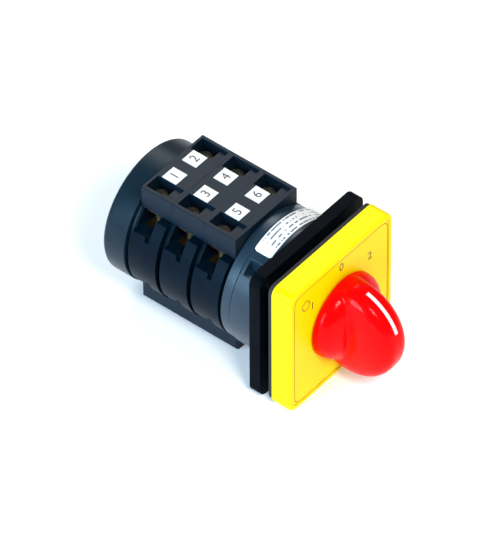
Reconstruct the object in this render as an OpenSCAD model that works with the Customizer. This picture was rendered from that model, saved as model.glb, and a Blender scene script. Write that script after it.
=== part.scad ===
// Panel-mounted rotary isolator switch: a red grip knob on a yellow escutcheon turns a square
// shaft through a detent housing and three double-contact switching stages.
// Frame: the shaft lies along Y, the knob faces -Y, +Z is up and +X is to the right seen from
// the front.  The origin is on the shaft axis, in the plane of the panel's front surface.
// At rest the knob stands at its middle position, 0; it turns 45 degrees to 1 and to 2.

/* [Escutcheon] */
// Side of the square escutcheon
escutcheon_w = 53.4; // [52:0.2:56]
// Depth of the escutcheon
escutcheon_h = 8; // [7.5:0.1:9]
// Thickness of the escutcheon's outer walls
escutcheon_wall = 1.9; // [1.6:0.1:2.2]
// Thickness of the sealing gasket behind it
gasket_t = 1.7; // [1.5:0.1:2.5]

/* [Panel mounting] */
// Open gap that takes the panel
panel_gap = 3; // [3:0.1:6]
// Side of the square mounting plate
plate_w = 54; // [52:0.5:56]
// Thickness of the mounting plate
plate_t = 4.5; // [4:0.1:6]
// Pitch of the four mounting screws, both ways
screw_pitch = 36; // [35:0.5:37]
// Radius of the mounting screws' shanks
screw_r = 2; // [1.75:0.05:2.1]
// Radius of the spigot that centres the switch in the panel's hole
spigot_r = 8; // [7.8:0.1:8.5]

/* [Body] */
// Radius of the detent housing
latch_r = 24.8; // [24:0.1:25.5]
// Radius of the ring, the stages and the rear cover
body_r = 24.4; // [24:0.1:25.5]
// Radius at the bottom of the grooves between the stages
groove_r = 22.2; // [21.8:0.1:22.8]
// Length of the detent housing
latch_len = 10.5; // [10:0.1:12]
// Length of the ring that closes the detent housing
ring_len = 4.2; // [4:0.1:5]
// Length of one switching stage
stage_len = 13.4; // [13.2:0.1:14.5]
// Length of the rear cover
cover_len = 10.6; // [10:0.1:13]

/* [Terminal covers] */
// Half width of the terminal covers
block_half_w = 16; // [15.8:0.1:16.5]
// Height of the terminal covers above and below the shaft axis
block_z = 26; // [25.6:0.1:27]
// Height at which the covers sit on the round stage
block_low_z = 17.2; // [17:0.1:17.4]

/* [Knob] */
// Radius of the knob's round skirt
skirt_r = 15.8; // [15:0.1:16.5]
// Height of the domed skirt
skirt_h = 8.8; // [8:0.1:9.5]
// Half length of the grip blade
grip_half = 18.5; // [17.5:0.1:19.5]
// Height of the grip above the knob's foot
grip_h = 24; // [23:0.1:26]
// Thickness of the grip blade
grip_t = 14.6; // [12:0.2:15]
// Shift of the grip blade below the shaft axis
grip_shift = 1.9; // [0:0.1:2.5]

/* [Mechanism] */
// Side of the square drive shaft
shaft_w = 6; // [5.5:0.1:6.5]
// Radius of the turning hubs that run in the bearings
hub_r = 5; // [4.8:0.05:5.1]
// Radial clearance of the hubs in their bearings
running_gap = 0.06; // [0.03:0.01:0.1]
// Cam radius under a follower at the rest position
cam_r = 8.5; // [8.3:0.1:8.7]
// Travel of a contact bridge for 45 degrees of knob
contact_travel = 1.2; // [1:0.1:1.3]

/* [Hidden] */
$fn = 72;
tiny = 0.01;
STAGES = ["front", "middle", "rear"];

// Stations along Y, from the front face of the escutcheon to the back of the rear cover
rim_y = -gasket_t;
face_y = rim_y - escutcheon_h;
plate_y = panel_gap;
latch_y = plate_y + plate_t;
ring_y = latch_y + latch_len;
stage_y = ring_y + ring_len;
cover_y = stage_y + 3 * stage_len;
end_y = cover_y + cover_len;

// Escutcheon details
legend_w = 49.6;
legend_t = 1.4;
pocket_depth = 1.6;
floor_y = face_y + 3.4;
boss_y = -1;
screw_head_r = 3.4;
screw_head_h = 2.1;
screw_neck_r = 1.9;
screw_relief = 0.4;
head_seat_y = face_y + pocket_depth + 2.3;
screw_end_y = latch_y - 0.3;
spigot_y = -1;

// Knob details
knob_gap = 0.4;
knob_y = face_y - knob_gap;
skirt_power = 2.5;
grip_power = 3.2;
grip_centre_h = 5.9;
shaft_front_y = knob_y - 12;

// Detent housing details
latch_wall = 2;
latch_cavity = [25, 27.6];
star_y = latch_y + latch_wall + 0.6;
star_t = 4.4;
star_r = 9.2;
star_wave = 0.8;
stop_y = star_y + star_t;
stop_t = 1.8;
stop_lug_half = 12;
knob_turn = 45;
stop_margin = 1.5;

// Stage details, measured from the stage's front face
wall_t = 1.2;
cam_gap = 0.06;
cam_u = 5;
cam_t = 7.6;
cam_chamber_r = 10.4;
terminal_u = 9;
terminal_x = 11.6;
wire_u0 = 5.2;
wire_u1 = 12.6;
panel_u0 = 0.9;
panel_u1 = stage_len - 0.9;
tab_z = 16.2;
strip_w = 4.4;
nose_r = 1.2;
plunger_w = 6;
plunger_t = 5.4;
plunger_foot = cam_r + cam_gap;
bar_z = 15.5;
bar_t = 1.1;
tip_h = 0.6;
fixed_top = bar_z - tip_h - contact_travel - 0.1;
rivet_h = 0.4;
strip_t = 1;
pad_top = 10.4;
clamp_z = 14.8;
clamp_t = 1.3;
screw_head_z = 19.7;
well_floor_z = 19.5;
spring_top_z = 22.4;
chamber_top_z = 18.1;
tie_x = 17.6;

// ---- Shared shapes --------------------------------------------------------------------

// Points of a rectangle with rounded corners, centred on the origin
function rounded_points(w, h, r, steps = 8) = [
    for (corner = [0 : 3], k = [0 : steps])
        let (a = corner * 90 + k * 90 / steps,
             sx = (corner == 0 || corner == 3) ? 1 : -1,
             sz = corner < 2 ? 1 : -1)
            [sx * (w / 2 - r) + r * cos(a), sz * (h / 2 - r) + r * sin(a)]
];

// Carries a flat XZ outline from y to y + len
module along_y(y, len) {
    translate([0, y + len, 0]) rotate([90, 0, 0]) linear_extrude(len) children();
}

// Round bar along Y
module rod_y(r, y, len) {
    translate([0, y, 0]) rotate([-90, 0, 0]) cylinder(r = r, h = len);
}

// Round bar along Z
module rod_z(r, z, len) {
    translate([0, 0, z]) cylinder(r = r, h = len);
}

// Box given by its low corner and its high corner
module box(low, high) {
    translate(low) cube(high - low);
}

module square_bar(w, y, len) {
    along_y(y, len) square(w, center = true);
}

// Flat washer sector about the shaft axis, from angle a0 to a1, measured from +X to +Z
module ring_sector(r0, r1, a0, a1, y, len) {
    translate([0, y + len, 0]) rotate([90, 0, 0]) rotate([0, 0, a0])
        rotate_extrude(angle = a1 - a0) translate([r0, 0]) square([r1 - r0, len]);
}

// Places a shape in the four corners of a square pattern
module four_corners(pitch) {
    for (x = [-1, 1], z = [-1, 1]) translate([x * pitch / 2, 0, z * pitch / 2]) children();
}

// Places a shape where the four plate screws are, above and below the centring spigot
module plate_screw_places() {
    for (x = [-10, 10], z = [-18.5, 18.5]) translate([x, 0, z]) children();
}

module left_and_right() {
    children();
    mirror([1, 0, 0]) children();
}

module top_and_bottom() {
    children();
    mirror([0, 0, 1]) children();
}

// ---- Knob -----------------------------------------------------------------------------

// Outline of the grip seen from the side, as (Z, height) points: an ellipse whose centre is
// above the knob's foot, cut off flat at the foot
function grip_point(a, scale) = [
    scale * grip_half * cos(a) - grip_shift,
    max(0, scale * (grip_h - grip_centre_h) * sin(a) + grip_centre_h)];

// Thin slice of the grip at a distance x from its middle plane
module grip_slice(x, scale) {
    side_view(x) linear_extrude(tiny)
        polygon([for (k = [0 : 39]) let (p = grip_point(k * 9, scale)) [p[1], p[0]]]);
}

// Turns a flat outline of (height, Z) points into the plane at a distance x
module side_view(x) {
    translate([x, knob_y, 0]) rotate([0, 0, 180]) rotate([90, 0, 90]) children();
}

module knob() {
    color("red") difference() {
        union() {
            translate([0, knob_y, 0]) rotate([90, 0, 0]) rotate_extrude() polygon(concat(
                [[0, 0]],
                [for (k = [0 : 12]) let (a = k * 7.5)
                    [skirt_r * pow(cos(a), 2 / skirt_power),
                     skirt_h * pow(sin(a), 2 / skirt_power)]]));
            hull() for (side = [-1, 1], k = [0 : 7]) let (a = 6 + k * 12)
                grip_slice(side * grip_t / 2 * pow(cos(a), 2 / grip_power),
                           pow(sin(a), 2 / grip_power));
        }
        // hollow of the skirt around the hub
        difference() {
            rod_y(skirt_r - 1.8, knob_y - 3, 3 + tiny);
            rod_y(7, knob_y - 3.5, 4);
        }
        square_bar(shaft_w, shaft_front_y - 0.5, knob_y - shaft_front_y + 1);
        // seat of the clip, open at the foot of the hub
        box([-4.2, knob_y - 2.8, -4.2], [4.2, knob_y + 1, 4.2]);
        pointer_band(0.985, 1.2);
    }
}

// White line inlaid along the upper ridge of the grip, and a little proud of it
module knob_pointer_line() {
    color("white") pointer_band(0.985, 1.006);
}

// Band of the side view between two scales of the grip's outline, over the line's stretch
module pointer_band(inner, outer) {
    w = 1.3;
    a0 = 14;
    a1 = 68;
    points = concat(
        [for (k = [0 : 14]) grip_point(a0 + k * (a1 - a0) / 14, outer)],
        [for (k = [14 : -1 : 0]) grip_point(a0 + k * (a1 - a0) / 14, inner)]);
    side_view(w / 2) linear_extrude(w) polygon([for (p = points) [p[1], p[0]]]);
}

// Square spring clip that grips the shaft inside the hub
module knob_clip() {
    color("silver") difference() {
        box([-4.1, knob_y - 2.7, -4.1], [4.1, knob_y - 0.1, 4.1]);
        square_bar(shaft_w, knob_y - 4, 5);
        box([-1, knob_y - 4, -5], [1, knob_y + 1, -2]);
    }
}

// ---- Escutcheon and panel mounting ------------------------------------------------------

module escutcheon_frame() {
    edge = 0.8;
    inner_w = escutcheon_w - 2 * escutcheon_wall;
    color("yellow") difference() {
        union() {
            difference() {
                union() {
                    along_y(face_y + edge, escutcheon_h - edge)
                        polygon(rounded_points(escutcheon_w, escutcheon_w, 3.2));
                    hull() {
                        along_y(face_y, tiny) polygon(rounded_points(
                            escutcheon_w - 2 * edge, escutcheon_w - 2 * edge, 3.2 - edge));
                        along_y(face_y + edge / 3, tiny) polygon(rounded_points(
                            escutcheon_w - edge * 0.6, escutcheon_w - edge * 0.6, 3.2 - edge * 0.3));
                        along_y(face_y + edge, tiny)
                            polygon(rounded_points(escutcheon_w, escutcheon_w, 3.2));
                    }
                }
                // hollow behind the floor
                along_y(floor_y, escutcheon_h) polygon(rounded_points(inner_w, inner_w, 1.6));
            }
            four_corners(screw_pitch) rod_y(4.4, floor_y - tiny, boss_y - floor_y + tiny);
        }
        along_y(face_y - 1, 1 + pocket_depth)
            polygon(rounded_points(legend_w + 0.4, legend_w + 0.4, 2.2));
        rod_y(12, face_y, escutcheon_h);
        four_corners(screw_pitch) {
            rod_y(screw_head_r + 0.2, face_y, head_seat_y - face_y);
            rod_y(screw_neck_r + 0.2, face_y, boss_y - face_y + 1);
        }
    }
}

module legend_plate() {
    color("gold") difference() {
        along_y(face_y + pocket_depth - legend_t, legend_t)
            polygon(rounded_points(legend_w, legend_w, 2));
        rod_y(9, face_y - 1, 4);
    }
}

module panel_gasket() {
    color("black") difference() {
        along_y(rim_y, gasket_t)
            polygon(rounded_points(escutcheon_w - 0.8, escutcheon_w - 0.8, 2.8));
        rod_y(13, rim_y - 1, gasket_t + 2);
        four_corners(screw_pitch) rod_y(4.5, rim_y - 1, gasket_t + 2);
    }
}

module mounting_screws() {
    color("silver") four_corners(screw_pitch) {
        difference() {
            rod_y(screw_head_r, head_seat_y - screw_head_h, screw_head_h);
            box([-3, head_seat_y - screw_head_h - 1, -0.4],
                [3, head_seat_y - screw_head_h + 0.7, 0.4]);
        }
        rod_y(screw_neck_r, head_seat_y, boss_y - head_seat_y);
        rod_y(screw_r, boss_y, plate_y - boss_y);
        rod_y(screw_neck_r, plate_y, screw_end_y - plate_y);
    }
}

module mounting_plate() {
    color("#1b1c1f") difference() {
        along_y(plate_y, plate_t) polygon(rounded_points(plate_w, plate_w, 3.6));
        rod_y(spigot_r + 0.1, plate_y - 1, plate_t + 2);
        four_corners(screw_pitch) {
            rod_y(screw_neck_r, plate_y - 1, plate_t + 2);
            rod_y(screw_r + 0.3, plate_y - 1, 1 + screw_relief);
        }
        plate_screw_places() {
            rod_y(1.3, plate_y - 1, plate_t + 2);
            rod_y(2.5, plate_y - 1, 1 + 1.7);
        }
    }
}

// Four small screws that fix the mounting plate to the detent housing
module plate_screws() {
    color("silver") plate_screw_places() {
        difference() {
            rod_y(2.4, plate_y + 0.2, 1.5);
            box([-1.9, plate_y, -0.3], [1.9, plate_y + 0.8, 0.3]);
        }
        rod_y(1.3, plate_y + 1.7, 5.8);
    }
}

// ---- Detent mechanism -------------------------------------------------------------------

module latch_housing() {
    color("#33414b") difference() {
        union() {
            rod_y(latch_r, latch_y, latch_len);
            rod_y(spigot_r, spigot_y, latch_y - spigot_y + tiny);
        }
        rod_y(hub_r + running_gap, spigot_y - 1, latch_len + latch_y + 2);
        // cavity of the detent, with an end stop left standing on each side of the lug
        difference() {
            along_y(latch_y + latch_wall, latch_len) square(latch_cavity, center = true);
            left_and_right() end_stop();
        }
        plate_screw_places() rod_y(1.3, latch_y - 1, 4.2);
        left_and_right() translate([tie_x, 0, 0]) {
            rod_y(1.7, latch_y - 1, latch_len + 2);
            rod_y(3.1, latch_y - 1, 1 + 2.6);
        }
        // pocket on the left shoulder, beside the label
        box([-20, latch_y + 4, 16], [-14.6, ring_y - 1.5, 22.5]);
    }
}

// Wedge of the housing that stops the lug at the end of the knob's turn
module end_stop() {
    near = 270 + knob_turn + stop_lug_half + stop_margin;
    along_y(latch_y, latch_len + 1) polygon([
        for (p = [[10.5, near], [17, near], [17, near + 10], [10.5, near + 10]])
            p[0] * [cos(p[1]), sin(p[1])]]);
}

// Curved label on top of the detent housing
module rating_label() {
    color("white") ring_sector(latch_r, latch_r + 0.15, 28, 115, latch_y + 2.9, 7.2);
}

function star_point(a) = let (r = star_r - star_wave * cos(8 * a)) [r * cos(a), r * sin(a)];

// Notched wheel, its two bearing hubs and the lug that meets the end stops
module star_wheel() {
    color("ivory") difference() {
        union() {
            along_y(star_y, star_t) polygon([for (k = [0 : 119]) star_point(k * 3)]);
            rod_y(hub_r, spigot_y + 1, stage_y - 0.4 - spigot_y - 1);
            rod_y(7, stop_y, stop_t);
            ring_sector(6, 13, 270 - stop_lug_half, 270 + stop_lug_half, stop_y, stop_t);
        }
        square_bar(shaft_w, spigot_y, stage_y + 5);
    }
}

// Height of the leaf's inner side above the shaft axis: a nose in the middle, flat ends
leaf_t = 0.5;
leaf_z = latch_cavity[1] / 2 - leaf_t;
nose_z = star_r - star_wave + 0.15;
function leaf_height(x) =
    abs(x) > 5 ? leaf_z : leaf_z - (leaf_z - nose_z) * (1 + cos(36 * x)) / 2;

// Two leaf springs, above and below the wheel, each with its nose in a notch
module detent_springs() {
    half = latch_cavity[0] / 2;
    color("silver") top_and_bottom() along_y(star_y + 0.2, star_t - 0.5)
        polygon(concat(
            [[-half, leaf_z]], [for (x = [-5 : 0.5 : 5]) [x, leaf_height(x)]], [[half, leaf_z]],
            [[half, leaf_z + leaf_t]],
            [for (x = [5 : -0.5 : -5]) [x, leaf_height(x) + leaf_t]], [[-half, leaf_z + leaf_t]]));
}

// Ring that closes the detent housing, stepped back at both seams
module latch_ring() {
    seam = 0.3;
    color("#33414b") difference() {
        union() {
            rod_y(body_r - 0.5, ring_y, ring_len);
            rod_y(body_r, ring_y + seam, ring_len - 2 * seam);
        }
        rod_y(hub_r + running_gap, ring_y - 1, ring_len + 2);
        left_and_right() translate([tie_x, 0, 0]) rod_y(1.7, ring_y - 1, ring_len + 2);
    }
}

// ---- Shaft and tie bolts ------------------------------------------------------------------

module drive_shaft() {
    color("silver") square_bar(shaft_w, shaft_front_y, cover_y + 5 - shaft_front_y);
}

module shaft_tail_bush() {
    color("ivory") difference() {
        rod_y(hub_r, cover_y - 0.4, 6.4);
        square_bar(shaft_w, cover_y - 2, 7);
    }
}

module tie_bolts() {
    color("silver") left_and_right() translate([tie_x, 0, 0]) {
        difference() {
            rod_y(3, latch_y + 0.2, 2.2);
            box([-2.4, latch_y, -0.4], [2.4, latch_y + 1.1, 0.4]);
        }
        rod_y(1.6, latch_y + 2.4, end_y - 1 - latch_y - 2.4);
    }
}

module tie_nuts() {
    color("silver") left_and_right() translate([tie_x, 0, 0]) difference() {
        translate([0, end_y - 2.6, 0]) rotate([-90, 0, 0]) cylinder(r = 3.1, h = 1.9, $fn = 6);
        rod_y(1.6, end_y - 4, 4);
    }
}

module rear_cover() {
    lip = 0.9;
    round_r = 1.8;
    color("#26323b") difference() {
        translate([0, cover_y, 0]) rotate([-90, 0, 0]) rotate_extrude() polygon(concat(
            [[0, 0], [groove_r, 0], [groove_r, lip], [body_r, lip]],
            [for (k = [0 : 6]) let (a = k * 15)
                [body_r - round_r + round_r * cos(a), cover_len - round_r + round_r * sin(a)]],
            [[0, cover_len]]));
        rod_y(hub_r + running_gap, cover_y - 1, 8);
        ring_cavity();
        left_and_right() translate([tie_x, 0, 0]) {
            rod_y(1.7, cover_y - 1, cover_len + 2);
            rod_y(3.7, end_y - 2.8, 4);
        }
    }
}

// Hollow between the rear cover's bearing and its outer wall, clear of the tie bolts
module ring_cavity() {
    difference() {
        rod_y(12.5, cover_y - 1, 1 + 6.5);
        rod_y(7.5, cover_y - 2, 10);
    }
}

// ---- Switching stage ------------------------------------------------------------------------

function stage_start(i) = stage_y + i * stage_len;

// Cam radius at a material angle a: rises through the follower's arc on one side and falls on
// the other, so a follower moves in proportion to the knob's angle
function cam_radius(a) =
    let (rise = contact_travel / knob_turn, reach = 51,
         top = max(-reach, min(reach, a - 90)), low = max(-reach, min(reach, a - 270)))
    a < 180 ? cam_r + rise * top : cam_r - rise * low;

module cam(i) {
    y = stage_start(i);
    color("ivory") difference() {
        union() {
            along_y(y + cam_u, cam_t)
                polygon([for (k = [0 : 119]) let (a = k * 3) cam_radius(a) * [cos(a), sin(a)]]);
            rod_y(hub_r, y - 0.3, cam_u + 0.3 + tiny);
        }
        square_bar(shaft_w, y - 1, stage_len + 1);
    }
}

// Outline of the upper terminal cover, seen from the front
module cover_outline(chamfer) {
    polygon([
        [-block_half_w, block_low_z],
        [-block_half_w, block_z - chamfer], [-block_half_w + chamfer, block_z],
        [block_half_w - chamfer, block_z], [block_half_w, block_z - chamfer],
        [block_half_w, block_low_z]]);
}

// Space that one terminal takes, in the quarter with +X and +Z, measured from the stage front
module terminal_space() {
    translate([0, terminal_u, 0]) {
        // wire entry through the side, and the notch beside its front edge
        box([14, wire_u0 - terminal_u, pad_top + 0.4], [27, wire_u1 - terminal_u, block_low_z]);
        box([21, wire_u0 - terminal_u, 9.2], [27, wire_u0 + 1.8 - terminal_u, pad_top + 1]);
        // chamber for the clamp
        box([8.8, -3.5, pad_top], [16.7, 3.5, block_low_z]);
        // screwdriver well, and the shallow step in front of it
        box([8.4, -4.4, well_floor_z], [14.6, 3.4, block_z + 1]);
        box([8.4, -7.8, block_z - 1.2], [14.6, -4.3, block_z + 1]);
        translate([terminal_x, 0, 0]) rod_z(1.7, 8, 14);
    }
}

// Metal strip from a fixed contact tip to its terminal, in the quarter with +X and +Z
module contact_strip() {
    translate([0, terminal_u - strip_w / 2, 0]) {
        box([4.4, 0, fixed_top - rivet_h - strip_t], [8.6, strip_w, fixed_top - rivet_h]);
        box([7.6, 0, pad_top - strip_t], [8.6, strip_w, fixed_top - rivet_h]);
        box([7.6, 0, pad_top - strip_t], [16.5, strip_w, pad_top]);
    }
}

// Hollows of one stage, which run through its housing and its two terminal covers
module stage_hollows() {
    plunger_gap = 0.06;
    half_w = plunger_w / 2 + plunger_gap;
    half_t = plunger_t / 2 + plunger_gap;
    rod_y(hub_r + running_gap, -1, wall_t + 2);
    rod_y(cam_chamber_r, wall_t, stage_len);
    left_and_right() translate([tie_x, 0, 0]) rod_y(1.7, -1, stage_len + 2);
    top_and_bottom() {
        // contact chamber, open to the back for assembly
        box([-9.2, wire_u0, fixed_top - rivet_h - strip_t], [9.2, stage_len + 1, chamber_top_z]);
        // guide of the plunger
        box([-half_w, terminal_u - half_t, 7], [half_w, terminal_u + half_t, 13]);
        // pocket of the contact spring
        translate([0, terminal_u, 0]) rod_z(3.2, 17, spring_top_z - 17);
        left_and_right() {
            terminal_space();
            contact_strip();
        }
    }
}

// Round body of a stage, flat above and below where the terminal covers sit
module stage_housing(i) {
    color("#33414b") translate([0, stage_start(i), 0]) difference() {
        union() {
            intersection() {
                rod_y(groove_r, 0, stage_len);
                box([-30, -1, -block_low_z], [30, stage_len + 1, block_low_z]);
            }
            intersection() {
                rod_y(body_r, panel_u0, panel_u1 - panel_u0);
                box([-30, 0, -tab_z], [30, stage_len, tab_z]);
            }
            box([-15, 0, -block_low_z], [15, stage_len, block_low_z]);
        }
        stage_hollows();
    }
}

// The upper and the lower terminal cover, each with two screwdriver wells
module terminal_covers(i) {
    color("#33414b") translate([0, stage_start(i), 0]) difference() {
        along_y(0, stage_len) {
            cover_outline(0.2);
            mirror([0, 1]) cover_outline(1.5);
        }
        stage_hollows();
    }
}

// Plastic follower that rides on the cam and carries a contact bridge
module plunger(i) {
    color("ivory") translate([0, stage_start(i) + terminal_u, 0]) {
        translate([0, -plunger_t / 2, plunger_foot + nose_r])
            rotate([-90, 0, 0]) cylinder(r = nose_r, h = plunger_t);
        box([-nose_r, -plunger_t / 2, plunger_foot + nose_r],
            [nose_r, plunger_t / 2, plunger_foot + 2]);
        box([-plunger_w / 2, -plunger_t / 2, plunger_foot + 1.6],
            [plunger_w / 2, plunger_t / 2, bar_z]);
        rod_z(1.3, bar_z - tiny, bar_t + 2.2);
    }
}

// Copper bar with two silver tips that joins the fixed contacts when it closes
module bridge(i) {
    y = stage_start(i) + terminal_u;
    color("peru") translate([0, y, 0]) difference() {
        union() {
            box([-7.6, -2, bar_z], [7.6, 2, bar_z + bar_t]);
            left_and_right() translate([6, 0, 0]) rod_z(1.4, bar_z - tip_h, tip_h);
        }
        rod_z(1.35, bar_z - 1, bar_t + 2);
    }
}

// One ring of wire points of a coil spring: turns rise along Z
function coil_ring(t, turns, r, wire, z0, z1) =
    let (a = t * turns * 360, z = z0 + wire + t * (z1 - z0 - 2 * wire))
    [for (k = [0 : 5]) let (b = k * 60)
        [(r + wire * cos(b)) * cos(a), (r + wire * cos(b)) * sin(a), z + wire * sin(b)]];

module coil(turns, r, wire, z0, z1) {
    steps = turns * 12;
    points = [for (s = [0 : steps]) each coil_ring(s / steps, turns, r, wire, z0, z1)];
    sides = [for (s = [0 : steps - 1], k = [0 : 5])
        [s * 6 + k, s * 6 + (k + 1) % 6, s * 6 + 6 + (k + 1) % 6, s * 6 + 6 + k]];
    polyhedron(points, concat(sides, [[5, 4, 3, 2, 1, 0]], [[for (k = [0 : 5]) steps * 6 + k]]));
}

// Coil spring that presses a bridge and its plunger towards the cam
module contact_spring(i) {
    color("silver") translate([0, stage_start(i) + terminal_u, 0])
        coil(4, 2.1, 0.3, bar_z + bar_t + 0.02, spring_top_z - 0.02);
}

module fixed_contacts(i) {
    color("peru") translate([0, stage_start(i), 0]) top_and_bottom() left_and_right() {
        difference() {
            contact_strip();
            translate([terminal_x, terminal_u, 0]) rod_z(1.5, 8, 4);
        }
        translate([6, terminal_u, 0]) rod_z(1.5, fixed_top - rivet_h - tiny, rivet_h + tiny);
    }
}

module terminal_screws(i) {
    color("silver") translate([0, stage_start(i) + terminal_u, 0])
        top_and_bottom() left_and_right() translate([terminal_x, 0, 0]) {
            difference() {
                rod_z(2.7, screw_head_z, 2);
                box([-0.4, -2.2, screw_head_z + 1.1], [0.4, 2.2, screw_head_z + 3]);
                box([-2.2, -0.4, screw_head_z + 1.1], [2.2, 0.4, screw_head_z + 3]);
            }
            rod_z(1.5, 8.8, screw_head_z - 8.8);
        }
}

module wire_clamps(i) {
    color("goldenrod") translate([0, stage_start(i) + terminal_u, 0])
        top_and_bottom() left_and_right() difference() {
            box([9, -3.1, clamp_z], [14.4, 3.1, clamp_z + clamp_t]);
            translate([terminal_x, 0, 0]) rod_z(1.5, 12, 6);
        }
}

module contact_labels(i) {
    color("white") translate([0, stage_start(i) + 8, 0])
        left_and_right() box([2.2, -3, block_z], [8.2, 3, block_z + 0.15]);
}

// ---- Nodes ------------------------------------------------------------------------------

knob();
knob_pointer_line();
knob_clip();
legend_plate();
escutcheon_frame();
panel_gasket();
mounting_screws();
mounting_plate();
plate_screws();
latch_housing();
rating_label();
star_wheel();
detent_springs();
latch_ring();
drive_shaft();
shaft_tail_bush();
tie_bolts();
tie_nuts();
rear_cover();
for (i = [0 : 2]) {
    stage_housing(i);
    terminal_covers(i);
    cam(i);
    plunger(i);
    mirror([0, 0, 1]) plunger(i);
    bridge(i);
    mirror([0, 0, 1]) bridge(i);
    contact_spring(i);
    mirror([0, 0, 1]) contact_spring(i);
    fixed_contacts(i);
    terminal_screws(i);
    wire_clamps(i);
    contact_labels(i);
}
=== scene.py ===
"""Rotary isolator switch: the visual model.

The switch's shaft lies along Y with the knob at -Y, +Z is up, and every length is in metres.
The shapes that the drawing package gives exactly keep their meshes and get their finishes and
fine edge rounding here. The knob, its pointer line, the position plate with its figures and
the printed labels are surfaces of their own.
"""

import logging
import math
from dataclasses import dataclass, field
from enum import Enum

import bpy
import numpy as np
from mathutils import Matrix, Vector


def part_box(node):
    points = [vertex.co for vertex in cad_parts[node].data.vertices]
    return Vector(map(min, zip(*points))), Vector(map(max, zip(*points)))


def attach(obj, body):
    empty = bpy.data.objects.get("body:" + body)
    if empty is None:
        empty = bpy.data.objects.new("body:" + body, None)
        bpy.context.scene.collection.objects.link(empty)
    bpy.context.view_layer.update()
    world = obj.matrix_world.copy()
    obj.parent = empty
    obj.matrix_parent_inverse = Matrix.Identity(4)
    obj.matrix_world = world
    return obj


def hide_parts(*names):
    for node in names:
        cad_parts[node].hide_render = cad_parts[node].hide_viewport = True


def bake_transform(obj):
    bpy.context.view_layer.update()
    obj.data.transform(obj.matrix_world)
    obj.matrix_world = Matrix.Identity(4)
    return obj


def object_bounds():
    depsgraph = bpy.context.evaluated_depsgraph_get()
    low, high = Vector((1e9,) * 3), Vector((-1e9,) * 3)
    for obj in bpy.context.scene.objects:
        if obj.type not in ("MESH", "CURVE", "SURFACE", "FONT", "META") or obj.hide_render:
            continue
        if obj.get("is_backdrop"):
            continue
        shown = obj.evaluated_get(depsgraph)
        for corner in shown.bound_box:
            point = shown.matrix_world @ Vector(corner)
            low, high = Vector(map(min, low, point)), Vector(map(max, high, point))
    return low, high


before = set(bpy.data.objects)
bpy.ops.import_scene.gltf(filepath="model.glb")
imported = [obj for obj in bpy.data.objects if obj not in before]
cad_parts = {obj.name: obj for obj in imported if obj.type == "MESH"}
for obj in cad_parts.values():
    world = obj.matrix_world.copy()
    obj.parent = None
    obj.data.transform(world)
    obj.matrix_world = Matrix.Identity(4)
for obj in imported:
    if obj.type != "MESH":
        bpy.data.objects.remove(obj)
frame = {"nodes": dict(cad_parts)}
CAD_LOW, CAD_HIGH = (tuple(corner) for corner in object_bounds())

log = logging.getLogger("switch")
Socket = bpy.types.NodeSocket
Feed = Socket | float | tuple[float, ...]
MM = 0.001
PRINT_GAP = 0.03 * MM  # how far printing lies above its face
COAT_ROUGHNESS = 0.06
WELD_DISTANCE = 2e-6
FLAT_ANGLE = 0.6  # degrees between triangles that count as one flat face


class Body(str, Enum):
    """The rigid bodies that a piece can ride on."""

    CASING = "casing"
    ROTOR = "rotor"


class Surface(str, Enum):
    """The kinds of surface that a finish can have."""

    MOULDED = "moulded"
    PRINTED = "printed"
    METAL = "metal"


# ---- Finishes ----------------------------------------------------------------------------


@dataclass(frozen=True)
class Finish:
    """One finish: its colour, gloss and the scale of its fine texture.

    Args:
        name: the material's name.
        kind: the kind of surface.
        color: linear base colour.
        shade: colour of the mottled or worn parts.
        roughness: mean roughness.
        spread: how far roughness varies over the surface.
        coat: weight of the clear coat.
        specular: level of the surface's own reflection, 0.5 for common plastic.
        metallic: 1.0 for bare metal.
        grain: size of the surface grain, in metres.
        relief: depth of the grain, in metres.
        mottle: how strongly the shade colour shows, from 0 to 1.
        glow: strength of the surface's own white light.
    """

    name: str
    kind: Surface
    color: tuple[float, float, float]
    shade: tuple[float, float, float]
    roughness: float = 0.4
    spread: float = 0.06
    coat: float = 0.0
    specular: float = 0.5
    metallic: float = 0.0
    grain: float = 0.0004
    relief: float = 0.00001
    mottle: float = 0.3
    glow: float = 0.0


RED = Finish("glossy red plastic", Surface.MOULDED, (0.9, 0.0, 0.001), (0.72, 0.0, 0.0),
             roughness=0.2, spread=0.05, coat=0.1, specular=0.04, grain=0.0016,
             relief=0.00001, mottle=0.25)
YELLOW = Finish("yellow plastic", Surface.MOULDED, (1.0, 0.8, 0.0), (0.95, 0.72, 0.0),
                roughness=0.36, spread=0.07, specular=0.1, grain=0.0005, relief=0.000006,
                mottle=0.3)
LEGEND = Finish("yellow position plate", Surface.MOULDED, (0.98, 0.77, 0.0), (0.94, 0.64, 0.0),
                roughness=0.32, spread=0.05, specular=0.1, grain=0.0008, relief=0.000004,
                mottle=0.4)
PLATE = Finish("black moulded plate", Surface.MOULDED, (0.001, 0.002, 0.004),
               (0.004, 0.006, 0.009), roughness=0.42, spread=0.1, specular=0.02,
               grain=0.0006, relief=0.000012, mottle=0.5)
# The housing plastics are one black plastic in a separate tone for each part; the blue in their
# colours is painted reflection of the blue side light.
HOUSING_BLUE_SHEEN = Finish("dark housing with painted blue sheen", Surface.MOULDED, (0.002, 0.01, 0.02),
                 (0.007, 0.017, 0.029), roughness=0.36, spread=0.12, specular=0.13,
                 grain=0.0005, relief=0.00001, mottle=0.5)
# Darker copy of the housing plastic for the stages, its blue tint painted reflection.
STAGE_BLUE_SHEEN = Finish("darker stage housing with painted blue sheen", Surface.MOULDED, (0.0005, 0.005, 0.011),
               (0.002, 0.01, 0.019), roughness=0.36, spread=0.12, specular=0.05,
               grain=0.0005, relief=0.00001, mottle=0.5)
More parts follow.
